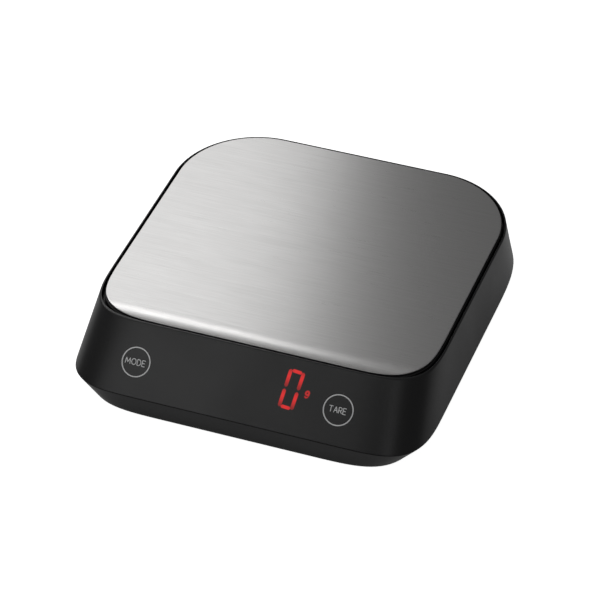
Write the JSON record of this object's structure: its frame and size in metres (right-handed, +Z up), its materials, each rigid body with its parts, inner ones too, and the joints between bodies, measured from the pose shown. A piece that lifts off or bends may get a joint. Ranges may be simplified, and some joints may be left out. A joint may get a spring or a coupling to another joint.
{
  "type": "kitchen scale",
  "caption": "Compact square kitchen scale with a brushed steel platform on a low black casing, a sloping front with touch controls and a red numeric display.",
  "frame": {"origin": "on the standing surface, under the middle of the casing", "axes": "-Y is the front with the display, +X is to the right as seen from the front, +Z is up"},
  "size_m": [0.1512, 0.1532, 0.0334],
  "materials": {
    "brushed_steel": "fine brushing along X",
    "black_plastic": "fine even texture, low sheen",
    "screw_steel": "zinc plated",
    "rubber": "matte",
    "cell_wrap": "plain coloured foil jacket",
    "spring_steel": "nickel plated",
    "bare_aluminium": "milled",
    "white_sealant": "soft satin",
    "green_board": "solder mask",
    "red_filter": "clear dark red",
    "display_body": "plain",
    "chip": "moulded",
    "connector": "plain",
    "grey_cable": "soft sheath",
    "red_wire": "soft sheath",
    "black_wire": "soft sheath"
  },
  "bodies": {
    "casing": {"top_housing": "black_plastic", "base_housing": "black_plastic", "housing_screw_front_left": "screw_steel", "housing_screw_front_right": "screw_steel", "housing_screw_middle_left": "screw_steel", "housing_screw_middle_right": "screw_steel", "housing_screw_rear_left": "screw_steel", "housing_screw_rear_right": "screw_steel", "foot_front_left": "rubber", "foot_front_right": "rubber", "foot_rear_left": "rubber", "foot_rear_right": "rubber", "battery_cell_1": "cell_wrap", "battery_cell_2": "cell_wrap", "battery_cell_3": "cell_wrap", "contact_negative": "spring_steel", "contact_bridge_left": "spring_steel", "contact_bridge_right": "spring_steel", "contact_positive": "spring_steel", "load_cell": "bare_aluminium", "lower_spacer": "screw_steel", "gauge_sealant": "white_sealant", "load_cell_screw_1": "screw_steel", "load_cell_screw_2": "screw_steel", "overload_stop": "screw_steel", "main_board": "green_board", "display_filter": "red_filter", "display_module": "display_body", "controller_chip": "chip", "converter_chip": "chip", "load_cell_connector": "connector", "battery_connector": "connector", "touch_spring_mode": "spring_steel", "touch_spring_tare": "spring_steel", "board_screw_left": "screw_steel", "board_screw_right": "screw_steel", "load_cell_cable": "grey_cable", "battery_wire_red": "red_wire", "battery_wire_black": "black_wire"},
    "platform": {"platform_plate": "brushed_steel", "platform_carrier": "black_plastic", "upper_spacer": "screw_steel", "carrier_screw_1": "screw_steel", "carrier_screw_2": "screw_steel"},
    "battery_door": {"battery_door": "black_plastic"}
  },
  "joints": [
    {"name": "platform_travel", "type": "slide", "parent": "casing", "child": "platform", "axis": [0, 0, 1], "range_m": [-0.00045, 0], "stiffness_N_per_m": 109000, "springref_m": 0.00002},
    {"name": "battery_door_hinge", "type": "hinge", "parent": "casing", "child": "battery_door", "pos_m": [0, 0.0595, 0.0014], "axis": [1, 0, 0], "range_deg": [0, 80]}
  ]
}
